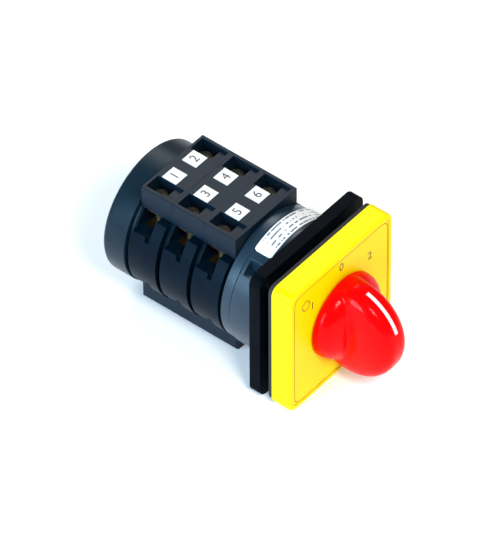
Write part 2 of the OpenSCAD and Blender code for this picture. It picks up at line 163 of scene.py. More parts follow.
# Lighter, bluer and glossier copy of the housing plastic: painted blue highlight of the side
# light's reflection on the detent housing.
LATCH_PAINTED_HIGHLIGHT = Finish("detent housing with painted blue highlight", Surface.MOULDED, (0.006, 0.024, 0.045),
               (0.014, 0.034, 0.055), roughness=0.3, spread=0.1, specular=0.42,
               grain=0.0005, relief=0.00001, mottle=0.5)
# Copy of the housing plastic for the rear cover, its blue tint painted reflection.
COVER_BLUE_SHEEN = Finish("dark rear cover with painted blue sheen", Surface.MOULDED, (0.003, 0.014, 0.024), (0.01, 0.024, 0.036),
               roughness=0.34, spread=0.12, specular=0.15, grain=0.0005, relief=0.00001,
               mottle=0.5)
GASKET = Finish("black rubber", Surface.MOULDED, (0.01, 0.01, 0.01), (0.02, 0.02, 0.02),
                roughness=0.75, spread=0.1, grain=0.0003, relief=0.00002, mottle=0.5)
IVORY = Finish("pale cam plastic", Surface.MOULDED, (0.72, 0.68, 0.58), (0.6, 0.56, 0.46),
               roughness=0.45, spread=0.08, grain=0.0005, relief=0.000008, mottle=0.4)
WHITE = Finish("white label", Surface.MOULDED, (0.86, 0.87, 0.88), (0.7, 0.72, 0.75),
               roughness=0.5, spread=0.06, grain=0.0004, relief=0.000004, mottle=0.25)
POINTER = Finish("white pointer paint", Surface.MOULDED, (0.92, 0.9, 0.9), (0.86, 0.7, 0.7),
                 roughness=0.3, spread=0.05, coat=0.3, grain=0.0006, relief=0.000006, mottle=0.4)
RATING = Finish("printed rating label", Surface.PRINTED, (0.88, 0.89, 0.9), (0.16, 0.17, 0.2),
                roughness=0.4, spread=0.05, grain=0.0006, relief=0.000003, mottle=1.0)
FIGURE = Finish("dark printed figure", Surface.MOULDED, (0.06, 0.055, 0.05), (0.1, 0.08, 0.05),
                roughness=0.5, spread=0.05, grain=0.0005, relief=0.000002, mottle=0.4)
# Amber for the printed ring mark and for the painted shadow line of the plate's seam gap.
AMBER_PRINT_AND_SEAM_SHADOW = Finish("amber print and painted seam shadow", Surface.MOULDED, (0.5, 0.22, 0.0), (0.35, 0.12, 0.0),
               roughness=0.5, spread=0.05, grain=0.0005, relief=0.000002, mottle=0.5)
PLATE_FIGURE = Finish("brown printed figure", Surface.MOULDED, (0.13, 0.07, 0.003),
                      (0.09, 0.04, 0.0), roughness=0.5, spread=0.05, grain=0.0005,
                      relief=0.000002, mottle=0.4)
# Steel darkened to paint the shade inside the terminal wells.
TERMINAL_STEEL_SHADED = Finish("terminal steel darkened as painted well shade", Surface.METAL, (0.26, 0.23, 0.18), (0.12, 0.1, 0.07),
                  roughness=0.4, spread=0.14, metallic=1.0, grain=0.0004, relief=0.000004,
                  mottle=0.6)
ZINC = Finish("zinc plated steel", Surface.METAL, (0.66, 0.65, 0.6), (0.4, 0.4, 0.38),
              roughness=0.32, spread=0.14, metallic=1.0, grain=0.0004, relief=0.000004, mottle=0.5)
SPRING = Finish("spring steel", Surface.METAL, (0.5, 0.5, 0.52), (0.3, 0.3, 0.32),
                roughness=0.28, spread=0.1, metallic=1.0, grain=0.0003, relief=0.000002)
COPPER = Finish("contact copper", Surface.METAL, (0.8, 0.46, 0.25), (0.5, 0.26, 0.12),
                roughness=0.3, spread=0.12, metallic=1.0, grain=0.0004, relief=0.000004, mottle=0.5)
# Brass darkened to paint the shade in the wire entries and contact recesses.
BRASS_SHADED = Finish("brass darkened as painted recess shade", Surface.METAL, (0.36, 0.2, 0.07), (0.2, 0.09, 0.03),
               roughness=0.34, spread=0.12, metallic=1.0, grain=0.0004, relief=0.000004, mottle=0.5)
FLOOR = Finish("pale floor", Surface.MOULDED, (0.9, 0.9, 0.9), (0.88, 0.88, 0.88),
               roughness=0.9, spread=0.02, grain=0.02, relief=0.0, mottle=0.2, glow=0.2)


class GroupBuilder:
    """A shader node group under construction, with short calls for its nodes."""

    def __init__(self, name: str, inputs: dict[str, tuple[str, object]],
                 outputs: dict[str, str]) -> None:
        """Starts the group.

        Args:
            name: the group's name.
            inputs: socket name to (socket type, default value).
            outputs: socket name to socket type.
        """
        self.tree = bpy.data.node_groups.new(name, "ShaderNodeTree")
        for label, (kind, value) in inputs.items():
            socket = self.tree.interface.new_socket(label, in_out="INPUT", socket_type=kind)
            if value is not None:
                socket.default_value = value
        for label, kind in outputs.items():
            self.tree.interface.new_socket(label, in_out="OUTPUT", socket_type=kind)
        self.source = self.tree.nodes.new("NodeGroupInput")
        self.sink = self.tree.nodes.new("NodeGroupOutput")

    def noise(self, vector: Socket, scale: Feed, detail: float = 3.0,
              roughness: float = 0.5) -> Socket:
        """Adds a noise texture.

        Args:
            vector: where the pattern is read.
            scale: patches for each unit of the vector.
            detail: how many finer layers are added.
            roughness: how strongly the finer layers show.

        Returns:
            The noise's value, 0 to 1.
        """
        node = self.tree.nodes.new("ShaderNodeTexNoise")
        node.inputs["Detail"].default_value = detail
        node.inputs["Roughness"].default_value = roughness
        self.tree.links.new(vector, node.inputs["Vector"])
        self.feed(scale, node.inputs["Scale"])
        return node.outputs["Fac"]

    def math(self, operation: str, first: Feed, second: Feed | None = None,
             third: Feed | None = None) -> Socket:
        """Adds a math node.

        Args:
            operation: the sum that it does.
            first: its first value.
            second: its second value, if it has one.
            third: its third value, if it has one.

        Returns:
            The result.
        """
        node = self.tree.nodes.new("ShaderNodeMath")
        node.operation = operation
        for value, socket in zip((first, second, third), node.inputs):
            if value is not None:
                self.feed(value, socket)
        return node.outputs[0]

    def ramp(self, value: Feed, low: float, high: float) -> Socket:
        """Maps a value smoothly from low..high to 0..1.

        Args:
            value: the value.
            low: what becomes 0.
            high: what becomes 1.

        Returns:
            The mapped value.
        """
        node = self.tree.nodes.new("ShaderNodeMapRange")
        node.interpolation_type = "SMOOTHSTEP"
        self.feed(value, node.inputs["Value"])
        node.inputs["From Min"].default_value = low
        node.inputs["From Max"].default_value = high
        return node.outputs["Result"]

    def mix(self, factor: Feed, first: Feed, second: Feed) -> Socket:
        """Mixes two colours.

        Args:
            factor: 0 for the first colour, 1 for the second.
            first: the first colour.
            second: the second colour.

        Returns:
            The mixed colour.
        """
        node = self.tree.nodes.new("ShaderNodeMix")
        node.data_type = "RGBA"
        self.feed(factor, node.inputs["Factor"])
        self.feed(first, node.inputs[6])
        self.feed(second, node.inputs[7])
        return node.outputs[2]

    def feed(self, value: Feed, socket: Socket) -> None:
        """Links a socket to another one, or sets its own value.

        Args:
            value: the socket or value that is fed in.
            socket: the socket that takes it.
        """
        if isinstance(value, bpy.types.NodeSocket):
            self.tree.links.new(value, socket)
        else:
            socket.default_value = value

    def give(self, **outputs: Socket) -> bpy.types.NodeTree:
        """Links the group's outputs.

        Args:
            outputs: output name to the socket that feeds it.

        Returns:
            The finished group.
        """
        for label, socket in outputs.items():
            self.tree.links.new(socket, self.sink.inputs[label])
        return self.tree


SKIN_INPUTS: dict[str, tuple[str, object]] = {
    "Vector": ("NodeSocketVector", None),
    "Color": ("NodeSocketColor", (0.5, 0.5, 0.5, 1.0)),
    "Shade": ("NodeSocketColor", (0.4, 0.4, 0.4, 1.0)),
    "Mottle": ("NodeSocketFloat", 0.3),
    "Grain": ("NodeSocketFloat", 1000.0),
    "Roughness": ("NodeSocketFloat", 0.4),
    "Spread": ("NodeSocketFloat", 0.06),
}
SKIN_OUTPUTS: dict[str, str] = {
    "Color": "NodeSocketColor", "Roughness": "NodeSocketFloat", "Height": "NodeSocketFloat"}


def moulded_skin_group() -> bpy.types.NodeTree:
    """Moulded plastic or rubber: broad flow mottling, handling marks and a fine grain.

    Returns:
        The node group.
    """
    g = GroupBuilder("Moulded skin", SKIN_INPUTS, SKIN_OUTPUTS)
    place, grain = g.source.outputs["Vector"], g.source.outputs["Grain"]
    flow = g.noise(place, g.math("MULTIPLY", grain, 0.05), detail=3.0)
    marks = g.ramp(g.noise(place, g.math("MULTIPLY", grain, 0.25), detail=5.0, roughness=0.65),
                   0.5, 0.72)
    fine = g.noise(place, grain, detail=4.0, roughness=0.6)
    patch = g.ramp(flow, 0.38, 0.66)
    blend = g.math("MULTIPLY", g.source.outputs["Mottle"],
                   g.math("ADD", g.math("MULTIPLY", patch, 0.7), g.math("MULTIPLY", marks, 0.3)))
    color = g.mix(blend, g.source.outputs["Color"], g.source.outputs["Shade"])
    swing = g.math("ADD", g.math("SUBTRACT", flow, 0.5), g.math("MULTIPLY", marks, 0.5))
    rough = g.math("MULTIPLY_ADD", swing, g.source.outputs["Spread"],
                   g.source.outputs["Roughness"])
    return g.give(Color=color, Roughness=rough, Height=fine)


def metal_skin_group() -> bpy.types.NodeTree:
    """Turned or stamped metal: tarnish patches, fine scratches and a faint relief.

    Returns:
        The node group.
    """
    g = GroupBuilder("Metal skin", SKIN_INPUTS, SKIN_OUTPUTS)
    place, grain = g.source.outputs["Vector"], g.source.outputs["Grain"]
    tarnish = g.ramp(g.noise(place, g.math("MULTIPLY", grain, 0.2), detail=5.0), 0.42, 0.7)
    squash = g.tree.nodes.new("ShaderNodeVectorMath")
    squash.operation = "MULTIPLY"
    squash.inputs[1].default_value = (1.0, 0.12, 1.0)
    g.tree.links.new(place, squash.inputs[0])
    scratch = g.noise(squash.outputs[0], g.math("MULTIPLY", grain, 2.0), detail=2.0)
    color = g.mix(g.math("MULTIPLY", tarnish, g.source.outputs["Mottle"]),
                  g.source.outputs["Color"], g.source.outputs["Shade"])
    rough = g.math("MULTIPLY_ADD", g.math("ADD", tarnish, g.math("SUBTRACT", scratch, 0.5)),
                   g.source.outputs["Spread"], g.source.outputs["Roughness"])
    return g.give(Color=color, Roughness=rough, Height=scratch)


def printed_skin_group() -> bpy.types.NodeTree:
    """White label with rows of grey dashes that stand for fine print, laid out on its UV map.

    Each row is a band of v, and a row's dashes are the stretches of u where a one-way noise
    passes a threshold.

    Returns:
        The node group.
    """
    g = GroupBuilder("Printed skin", SKIN_INPUTS, SKIN_OUTPUTS)
    place = g.source.outputs["Vector"]
    split = g.tree.nodes.new("ShaderNodeSeparateXYZ")
    g.tree.links.new(place, split.inputs[0])
    u, v = split.outputs[0], split.outputs[1]
    rows = g.math("MULTIPLY", v, 4.0)
    row = g.math("FLOOR", rows)
    across = g.math("SUBTRACT", rows, row)
    band = g.math("MULTIPLY", g.ramp(across, 0.3, 0.38),
                  g.math("SUBTRACT", 1.0, g.ramp(across, 0.68, 0.76)))
    join = g.tree.nodes.new("ShaderNodeCombineXYZ")
    g.feed(g.math("MULTIPLY", u, 26.0), join.inputs[0])
    g.feed(g.math("MULTIPLY", row, 7.3), join.inputs[1])
    word = g.ramp(g.noise(join.outputs[0], 1.0, detail=1.0), 0.44, 0.5)
    inside = g.math("MULTIPLY", g.math("MULTIPLY", g.ramp(u, 0.1, 0.11),
                                       g.math("SUBTRACT", 1.0, g.ramp(u, 0.86, 0.87))),
                    g.math("MULTIPLY", g.ramp(v, 0.06, 0.07),
                           g.math("SUBTRACT", 1.0, g.ramp(v, 0.93, 0.94))))
    ink = g.math("MULTIPLY", g.math("MULTIPLY", band, word), inside)
    color = g.mix(g.math("MULTIPLY", ink, g.source.outputs["Mottle"]),
                  g.source.outputs["Color"], g.source.outputs["Shade"])
    fine = g.noise(place, 40.0, detail=3.0)
    rough = g.math("MULTIPLY_ADD", fine, g.source.outputs["Spread"],
                   g.source.outputs["Roughness"])
    return g.give(Color=color, Roughness=rough, Height=fine)


@dataclass
class PaintShop:
    """Builds each finish's material once and puts it on pieces."""

    skins: dict[Surface, bpy.types.NodeTree] = field(default_factory=dict)
    made: dict[str, bpy.types.Material] = field(default_factory=dict)

    def __post_init__(self) -> None:
        """Builds the shared node groups."""
        self.skins = {Surface.MOULDED: moulded_skin_group(), Surface.METAL: metal_skin_group(),
                      Surface.PRINTED: printed_skin_group()}

    def material(self, finish: Finish) -> bpy.types.Material:
        """Returns the material of a finish, built at its first use.

        Args:
            finish: the finish.

        Returns:
            The material.
        """
        if finish.name in self.made:
            return self.made[finish.name]
        mat = bpy.data.materials.new(finish.name)
        mat.use_nodes = True
        nodes, links = mat.node_tree.nodes, mat.node_tree.links
        nodes.clear()
        out = nodes.new("ShaderNodeOutputMaterial")
        shader = nodes.new("ShaderNodeBsdfPrincipled")
        links.new(shader.outputs[0], out.inputs["Surface"])
        shader.inputs["Metallic"].default_value = finish.metallic
        shader.inputs["Coat Weight"].default_value = finish.coat
        shader.inputs["Specular IOR Level"].default_value = finish.specular
        shader.inputs["Coat Roughness"].default_value = COAT_ROUGHNESS
        shader.inputs["Emission Color"].default_value = (1.0, 1.0, 1.0, 1.0)
        shader.inputs["Emission Strength"].default_value = finish.glow
        place = nodes.new("ShaderNodeTexCoord")
        skin = nodes.new("ShaderNodeGroup")
        skin.node_tree = self.skins[finish.kind]
        skin.inputs["Color"].default_value = (*finish.color, 1.0)
        skin.inputs["Shade"].default_value = (*finish.shade, 1.0)
        skin.inputs["Mottle"].default_value = finish.mottle
        skin.inputs["Grain"].default_value = 1.0 / finish.grain
        skin.inputs["Roughness"].default_value = finish.roughness
        skin.inputs["Spread"].default_value = finish.spread
        source = "UV" if finish.kind is Surface.PRINTED else "Object"
        links.new(place.outputs[source], skin.inputs["Vector"])
        links.new(skin.outputs["Color"], shader.inputs["Base Color"])
        links.new(skin.outputs["Roughness"], shader.inputs["Roughness"])
        if finish.relief > 0:
            bump = nodes.new("ShaderNodeBump")
            bump.inputs["Strength"].default_value = 1.0
            bump.inputs["Distance"].default_value = finish.relief
            links.new(skin.outputs["Height"], bump.inputs["Height"])
            links.new(bump.outputs[0], shader.inputs["Normal"])
        self.made[finish.name] = mat
        return mat

    def dress(self, obj: bpy.types.Object, finish: Finish) -> None:
        """Gives a piece one finish all over."""
        obj.data.materials.clear()
        obj.data.materials.append(self.material(finish))


# ---- Mesh making -----------------------------------------------------------------------------


def grid_faces(rows: int, columns: int, wrap: bool) -> np.ndarray:
    """Quads of a grid of rows by columns, closed along the columns when wrap is set.

    Args:
        rows: number of rows of points.
        columns: points in a row.
        wrap: whether the last column joins the first.

    Returns:
        An array of quads of point numbers.
    """
    r = np.arange(rows - 1)[:, None]
    c = np.arange(columns if wrap else columns - 1)[None, :]
    right = (c + 1) % columns
    quads = np.stack([r * columns + c, r * columns + right,
                      (r + 1) * columns + right, (r + 1) * columns + c], axis=-1)
    return quads.reshape(-1, 4)


def mesh_object(name: str, points: np.ndarray, faces: list, crease: float = 40.0,
                uv: np.ndarray | None = None) -> bpy.types.Object:
    """Makes a piece at the origin from points in metres and faces.

    Args:
        name: the piece's name.
        points: (n, 3) points.
        faces: faces of point numbers.
        crease: edges sharper than this many degrees stay sharp.
        uv: (n, 2) map for the points, or None.

    Returns:
        The object, smooth shaded, with its normals pointing out.
    """
    mesh = bpy.data.meshes.new(name)
    mesh.from_pydata(points.reshape(-1, 3).tolist(), [], [list(map(int, f)) for f in faces])
    mesh.validate()
    if uv is not None:
        layer = mesh.uv_layers.new(name="UVMap")
        corner = np.zeros(len(mesh.loops), dtype=np.int32)
        mesh.loops.foreach_get("vertex_index", corner)
        layer.data.foreach_set("uv", uv.reshape(-1, 2)[corner].astype(np.float32).ravel())
    mesh.shade_smooth()
    mesh.set_sharp_from_angle(angle=math.radians(crease))
    mesh.update()
    obj = bpy.data.objects.new(name, mesh)
    bpy.context.scene.collection.objects.link(obj)
    return obj


def add_bevel(obj: bpy.types.Object, width: float, segments: int = 2,
              angle: float = 32.0) -> None:
    """Rounds the sharp edges of a piece with a bevel modifier.

    Args:
        obj: the piece.
        width: the rounding's width, in metres.
        segments: faces across the rounding.
        angle: edges sharper than this many degrees are rounded.
    """
    bevel = obj.modifiers.new("edge rounding", "BEVEL")
    bevel.width = width
    bevel.segments = segments
    bevel.limit_method = "ANGLE"
    bevel.angle_limit = math.radians(angle)
    bevel.harden_normals = False
    bevel.use_clamp_overlap = True


def soften_cad_edges(node: str, width: float, segments: int = 2) -> None:
    """Joins a drawn part's loose triangles, clears its flat faces and rounds its edges.

    Args:
        node: the drawn part.
        width: the rounding's width, in metres.
        segments: faces across the rounding.
    """
    obj = frame["nodes"][node]
    weld = obj.modifiers.new("weld", "WELD")
    weld.merge_threshold = WELD_DISTANCE
    clean = obj.modifiers.new("clean flats", "DECIMATE")
    clean.decimate_type = "DISSOLVE"
    clean.angle_limit = math.radians(FLAT_ANGLE)
    add_bevel(obj, width, segments)
    flags = np.ones(len(obj.data.polygons), dtype=bool)
    obj.data.polygons.foreach_set("use_smooth", flags)
    weighted = obj.modifiers.new("even shading", "WEIGHTED_NORMAL")
    weighted.keep_sharp = False
    weighted.weight = 60


# ---- Sub-assemblies ------------------------------------------------------------------------------


@dataclass
class Knob:
    """The red grip knob: a round domed skirt and an upright blade, with its pointer line.

    The skin is one surface. From the middle of the foot, a point lies along each direction
    (turn, lift) at the distance where the direction leaves either the skirt or the blade. The
    skirt is a round body (r / R)^q + (h / H)^q = 1, and the blade is
    |x / T|^p + (((z - c) / A)^2 + ((h - d) / B)^2)^(p / 2) = 1. The two distances are joined
    as (a^k + b^k)^(1 / k), which leaves a small fillet between them.
    """

    foot_y: float
    skirt_r: float = 15.8 * MM
    skirt_h: float = 8.8 * MM
    skirt_power: float = 2.5
    half_length: float = 18.5 * MM
    half_height: float = 18.1 * MM
    half_thickness: float = 7.3 * MM
    centre_z: float = -1.9 * MM
    centre_h: float = 5.9 * MM
    blade_power: float = 3.2
    join_power: float = 30.0
    line_width: float = 1.25 * MM
    line_from: float = 14.0
    line_to: float = 68.0
    foot_taper: float = 0.97
    line_rise: float = 0.006
    paint: float = 0.12 * MM
    turns: int = 360
    lifts: int = 120
    search_steps: int = 36
    search_limit: float = 60 * MM

    def inside_blade(self, x: np.ndarray, h: np.ndarray, z: np.ndarray) -> np.ndarray:
        """Tells which points lie inside the blade.

        Args:
            x: distances across the blade.
            h: heights above the foot.
            z: distances along the blade.

        Returns:
            True where a point is inside.
        """
        side = (((z - self.centre_z) / self.half_length) ** 2
                + ((h - self.centre_h) / self.half_height) ** 2)
        return (np.abs(x) / self.half_thickness) ** self.blade_power + side ** (
            self.blade_power / 2) < 1.0

    def reach(self, direction: np.ndarray) -> np.ndarray:
        """Distance from the middle of the foot to the skin.

        Args:
            direction: (..., 3) unit vectors as (x, height, z).

        Returns:
            The distances, in metres.
        """
        x, h, z = (direction[..., k] for k in range(3))
        skirt = ((np.hypot(x, z) / self.skirt_r) ** self.skirt_power
                 + (h / self.skirt_h) ** self.skirt_power) ** (-1.0 / self.skirt_power)
        near, far = np.zeros_like(x), np.full_like(x, self.search_limit)
        for _ in range(self.search_steps):
            middle = (near + far) / 2
            inside = self.inside_blade(x * middle, h * middle, z * middle)
            near, far = np.where(inside, middle, near), np.where(inside, far, middle)
        most = np.maximum(skirt, near)
        k = self.join_power
        return most * ((skirt / most) ** k + (near / most) ** k) ** (1.0 / k)

    def place(self, direction: np.ndarray, scale: float | np.ndarray = 1.0) -> np.ndarray:
        """Returns the skin's points along directions, in the switch's frame."""
        d = direction * (self.reach(direction) * scale)[..., None]
        return np.stack([d[..., 0], self.foot_y - d[..., 1], d[..., 2]], axis=-1)

    def skin(self) -> bpy.types.Object:
        """Builds the knob's skin, closed by a flat foot.

        Returns:
            The skin.
        """
        turn = np.linspace(0, 2 * np.pi, self.turns, endpoint=False)
        lift = np.linspace(0, np.pi / 2, self.lifts)[:-1]
        a, e = np.meshgrid(turn, lift, indexing="xy")
        direction = np.stack([np.cos(a) * np.cos(e), np.sin(e), np.sin(a) * np.cos(e)], axis=-1)
        shell = self.place(direction)
        top = self.place(np.array([[0.0, 1.0, 0.0]]))
        foot = shell[0] * np.array([self.foot_taper, 1.0, self.foot_taper])
        middle = np.array([[0.0, self.foot_y, 0.0]])
        rows = np.concatenate([foot[None], shell], axis=0)
        count = rows.shape[0] * rows.shape[1]
        points = np.concatenate([rows.reshape(-1, 3), top, middle])
        faces = grid_faces(rows.shape[0], self.turns, True).tolist()
        last = (rows.shape[0] - 1) * self.turns
        ring = np.arange(self.turns)
        after = (ring + 1) % self.turns
        faces += np.stack([last + ring, last + after, np.full_like(ring, count)], axis=-1).tolist()
        faces += np.stack([after, ring, np.full_like(ring, count + 1)], axis=-1).tolist()
        return mesh_object("knob_skin", points, faces, crease=55.0)

    def pointer_line(self) -> bpy.types.Object:
        """Builds the white line on the upper ridge, a strip a hair above the skin.

        Returns:
            The line.
        """
        turn = np.radians(np.linspace(self.line_from, self.line_to, 60))
        across = np.linspace(-0.5, 0.5, 9) * self.line_width
        a, w = np.meshgrid(turn, across, indexing="ij")
        direction = np.stack([w, self.centre_h + self.half_height * np.sin(a),
                              self.centre_z + self.half_length * np.cos(a)], axis=-1)
        direction /= np.linalg.norm(direction, axis=-1, keepdims=True)
        points = self.place(direction, 1.0 + self.line_rise * (1 - (2 * w / self.line_width) ** 4))
        obj = mesh_object("knob_pointer", points, grid_faces(60, 9, False).tolist(), 60.0)
        thick = obj.modifiers.new("paint thickness", "SOLIDIFY")
        thick.thickness = self.paint
        thick.offset = -1.0
        return obj

    def build(self, shop: PaintShop) -> None:
        """Builds the knob and puts it on the rotor.

        Args:
            shop: where the finishes come from.
        """
        skin, line = self.skin(), self.pointer_line()
        shop.dress(skin, RED)
        shop.dress(line, POINTER)
        for obj, node, slot in ((skin, "knob", "knob_red"),
                                (line, "knob_pointer_line", "white_print")):
            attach(obj, Body.ROTOR.value)
            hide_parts(node)
        log.info("knob: skin of %d points", len(skin.data.vertices))


@dataclass
class Engraving:
    """Printed figures: flat shapes that lie a hair above a face."""

    thickness: float = 0.04 * MM
    size_over_height: float = 1.38

    def figure(self, name: str, text: str, size: float, centre: Vector, across: Vector,
               up: Vector) -> bpy.types.Object:
        """Builds one figure.

        Args:
            name: the piece's name.
            text: the figure.
            size: its height, in metres.
            centre: where its middle lies.
            across: unit vector of its reading direction.
            up: unit vector of its upright direction.

        Returns:
            The figure as a mesh at the origin.
        """
        curve = bpy.data.curves.new(name, "FONT")
        curve.body = text
        curve.size = size * self.size_over_height
        curve.align_x, curve.align_y = "CENTER", "CENTER"
        curve.extrude = self.thickness / 2
        helper = bpy.data.objects.new(name + "_curve", curve)
        bpy.context.scene.collection.objects.link(helper)
        graph = bpy.context.evaluated_depsgraph_get()
        mesh = bpy.data.meshes.new_from_object(helper.evaluated_get(graph))
        bpy.data.objects.remove(helper)
        mesh.name = name
        out = across.cross(up)
        turn = Matrix((across, up, out)).transposed().to_4x4()
        mesh.transform(Matrix.Translation(centre) @ turn)
        obj = bpy.data.objects.new(name, mesh)
        bpy.context.scene.collection.objects.link(obj)
        return obj


@dataclass
class PositionPlate:
    """The yellow plate round the knob, with the figures 1, 0 and 2, a ring mark and an amber line
    along its edge that is painted shadow of the seam gap.

    The painted seam shadow follows the plate's edge: at a turn a, its radius is the superellipse
    W / (|cos a|^n + |sin a|^n)^(1 / n), a square of half width W with small round corners.
    """

    figure_r: float = 21.2 * MM
    figure_size: float = 3.4 * MM
    ring_at: tuple[float, float] = (-18.4 * MM, 17.6 * MM)
    ring_r: float = 2.1 * MM
    ring_bore: float = 0.78
    border_inset: float = 0.3 * MM
    border_width: float = 0.3 * MM
    border_power: float = 18.0
    # Depth of the printed ring mark and of the painted seam shadow band.
    ink: float = 0.04 * MM

    def band(self, name: str, y: float, outer: np.ndarray, inner: np.ndarray, turn: np.ndarray,
             centre: tuple[float, float]) -> bpy.types.Object:
        """Builds a flat band between two outlines, used for the printed ring and for the painted
        seam shadow.

        Args:
            name: the piece's name.
            y: where the band lies along the shaft's axis.
            outer: the outer outline's radius at each turn.
            inner: the inner outline's radius at each turn.
            turn: the turns, in radians.
            centre: the outlines' middle, as (x, z).

        Returns:
            The band.
        """
        radius = np.stack([outer, inner])
        x = centre[0] + radius * np.cos(turn)
        z = centre[1] + radius * np.sin(turn)
        points = np.stack([x, np.full_like(x, y), z], axis=-1)
        obj = mesh_object(name, points, grid_faces(2, turn.size, True).tolist())
        thick = obj.modifiers.new("band thickness", "SOLIDIFY")
        thick.thickness = self.ink
        return obj

    def ring_mark(self, y: float) -> bpy.types.Object:
        """Builds the small printed ring.

        Args:
            y: where it lies along the shaft's axis.

        Returns:
            The ring.
        """
        turn = np.linspace(0, 2 * np.pi, 64, endpoint=False)
        outer = np.full_like(turn, self.ring_r)
        return self.band("plate_ring_mark", y, outer, outer * self.ring_bore, turn, self.ring_at)

    def border(self, y: float, half: float) -> bpy.types.Object:
        """Builds the amber line along the plate's edge, a painted shadow of the seam gap between
        plate and frame.

        Args:
            y: where it lies along the shaft's axis.
            half: half the plate's width.

        Returns:
            The line.
        """
        turn = np.linspace(0, 2 * np.pi, 720, endpoint=False)
        n = self.border_power
        square = (np.abs(np.cos(turn)) ** n + np.abs(np.sin(turn)) ** n) ** (-1.0 / n)
        outer = square * (half - self.border_inset)
        inner = square * (half - self.border_inset - self.border_width)
        return self.band("plate_seam_shadow", y, outer, inner, turn, (0.0, 0.0))

    def build(self, shop: PaintShop) -> None:
        """Dresses the plate, prints its figures and ring mark, and lays the painted seam shadow
        along its edge.

        Args:
            shop: where the finishes come from.
        """
        low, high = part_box("legend_plate")
        face = low.y - PRINT_GAP
        shop.dress(frame["nodes"]["legend_plate"], LEGEND)
        soften_cad_edges("legend_plate", 0.2 * MM)
        press = Engraving()
        across, up = Vector((1, 0, 0)), Vector((0, 0, 1))
        for text, angle in (("1", 45.0), ("0", 0.0), ("2", -45.0)):
            a = math.radians(angle)
            spot = Vector((-math.sin(a) * self.figure_r, face, math.cos(a) * self.figure_r))
            obj = press.figure(f"plate_figure_{text}", text, self.figure_size, spot, across, up)
            shop.dress(obj, PLATE_FIGURE)
            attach(obj, Body.CASING.value)
        # The ring mark is print; the line along the edge is painted shadow of the seam between
        # plate and frame.
        for obj in (self.ring_mark(face), self.border(face, high.x)):
            shop.dress(obj, AMBER_PRINT_AND_SEAM_SHADOW)
            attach(obj, Body.CASING.value)
        log.info("position plate: 3 figures")


@dataclass
class RatingLabel:
    """The curved white label on top of the detent housing.

    Its surface is the cylinder of the housing: a point at (turn, along) lies at the radius R
    from the shaft's axis, and the corners of its outline are rounded.
    """

    start: float = 28.0
    end: float = 119.0
    corner: float = 1.1 * MM
    paper: float = 0.1 * MM
    columns: int = 97
    rows: int = 25

    def build(self, shop: PaintShop) -> None:
        """Builds the label on the detent housing.

        Args:
            shop: where the finishes come from.
        """
        low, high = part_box("rating_label")
        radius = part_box("latch_housing")[1].x + self.paper
        turn = np.linspace(0, 1, self.columns)
        along = np.linspace(0, 1, self.rows)
        u, v = np.meshgrid(turn, along, indexing="ij")
        length = math.radians(self.end - self.start) * radius
        from_end = np.minimum(u, 1 - u) * length
        inset = np.where(from_end < self.corner,
                         self.corner - np.sqrt(np.maximum(
                             self.corner ** 2 - (self.corner - from_end) ** 2, 0)), 0.0)
        width = high.y - low.y
        y = low.y + inset + v * (width - 2 * inset)
        a = np.radians(self.end + u * (self.start - self.end))
        points = np.stack([radius * np.cos(a), y, radius * np.sin(a)], axis=-1)
        uv = np.stack([u, (y - low.y) / width], axis=-1)
        obj = mesh_object("rating_label_print", points,
                          grid_faces(self.columns, self.rows, False).tolist(), 60.0, uv)
        thick = obj.modifiers.new("label thickness", "SOLIDIFY")
        thick.thickness = self.paper
        shop.dress(obj, RATING)
        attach(obj, Body.CASING.value)
        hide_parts("rating_label")
        log.info("rating label: %.1f mm long", length / MM)


@dataclass
class CoilSpring:
    """A coil spring between its pocket in the housing and a contact bridge.

    A point of the wire is (R cos t + w cos b cos t, R sin t + w cos b sin t, h(t) + w sin b),
    for the turn t along the coil and b round the wire. The height h rises slowly over the first
    and last turn, so the ends lie flat, and evenly between them.
    """

    turns: float = 5.0
    wire_r: float = 0.3 * MM
    steps: int = 200
    around: int = 10

    def coil(self, node: str) -> bpy.types.Object:
        """Builds the wire in the space of a drawn spring.

        Args:
            node: the drawn spring.

        Returns:
            The wire, closed at both ends.
        """
        low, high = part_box(node)
        middle = (low + high) / 2
        mean_r = (high.x - low.x) / 2 - self.wire_r
        w, flat = self.wire_r, 2.05 * self.wire_r
        turn = np.linspace(0, self.turns, self.steps)
        height = np.interp(turn, [0, 1, self.turns - 1, self.turns],
                           [low.z + w, low.z + w + flat, high.z - w - flat, high.z - w])
        t, b = np.meshgrid(2 * np.pi * turn, np.linspace(0, 2 * np.pi, self.around, endpoint=False),
                           indexing="ij")
        r = mean_r + w * np.cos(b)
        points = np.stack([middle.x + r * np.cos(t), middle.y + r * np.sin(t),
                           height[:, None] + w * np.sin(b)], axis=-1).reshape(-1, 3)
        faces = grid_faces(self.steps, self.around, True)[:, ::-1].tolist()
        last = (self.steps - 1) * self.around
        faces += [list(range(self.around)), list(range(last, last + self.around))[::-1]]
        return mesh_object(node + "_wire", points, faces, crease=50.0)

    def build(self, node: str, carrier: str, shop: PaintShop) -> None:
        """Puts a spring in place, in the space of its drawn spring between the housing and the
        bridge.

        Args:
            node: the drawn spring.
            carrier: the body that the bridge belongs to; not used.
            shop: where the finishes come from.
        """
        obj = self.coil(node)
        shop.dress(obj, SPRING)
        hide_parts(node)
        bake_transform(obj)


